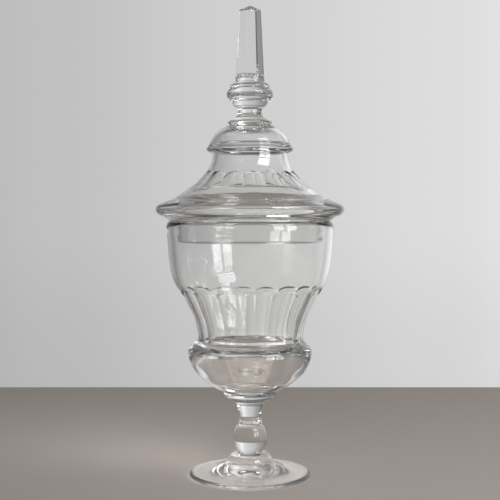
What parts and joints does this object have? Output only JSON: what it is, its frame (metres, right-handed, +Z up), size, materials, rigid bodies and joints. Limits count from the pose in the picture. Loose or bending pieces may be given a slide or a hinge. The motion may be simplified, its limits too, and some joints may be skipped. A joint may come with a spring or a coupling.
{
  "type": "specimen jar",
  "caption": "Tall cut-glass covered jar: fluted bowl on a knopped stem and disc foot, with a lift-off domed lid and six-sided spire finial.",
  "frame": {"origin": "centre of the foot's flat underside, on the surface the jar stands on", "axes": "+Z up along the jar's axis, from foot to spire; front is -Y, +X to the right"},
  "size_m": [0.1522, 0.1522, 0.3804],
  "materials": {
    "bowl_crystal": "polished cut crystal",
    "stem_crystal": "polished solid crystal",
    "lid_crystal": "polished cut crystal",
    "finial_crystal": "polished solid crystal"
  },
  "bodies": {
    "jar": {"foot": "stem_crystal", "foot_collar": "stem_crystal", "ball_knop": "stem_crystal", "stem_bead": "stem_crystal", "stem_neck": "stem_crystal", "bowl_collar": "stem_crystal", "bowl": "bowl_crystal"},
    "lid": {"lid_cover": "lid_crystal", "lid_flange": "lid_crystal", "lid_dome": "lid_crystal", "finial_collar": "finial_crystal", "finial_neck": "finial_crystal", "knop_lower_ring": "finial_crystal", "finial_knop": "finial_crystal", "knop_upper_ring": "finial_crystal", "finial_spire": "finial_crystal"}
  },
  "joints": [
    {"name": "lid_lift", "type": "slide", "parent": "jar", "child": "lid", "axis": [0, 0, 1], "range_m": [0, 0.15]}
  ]
}
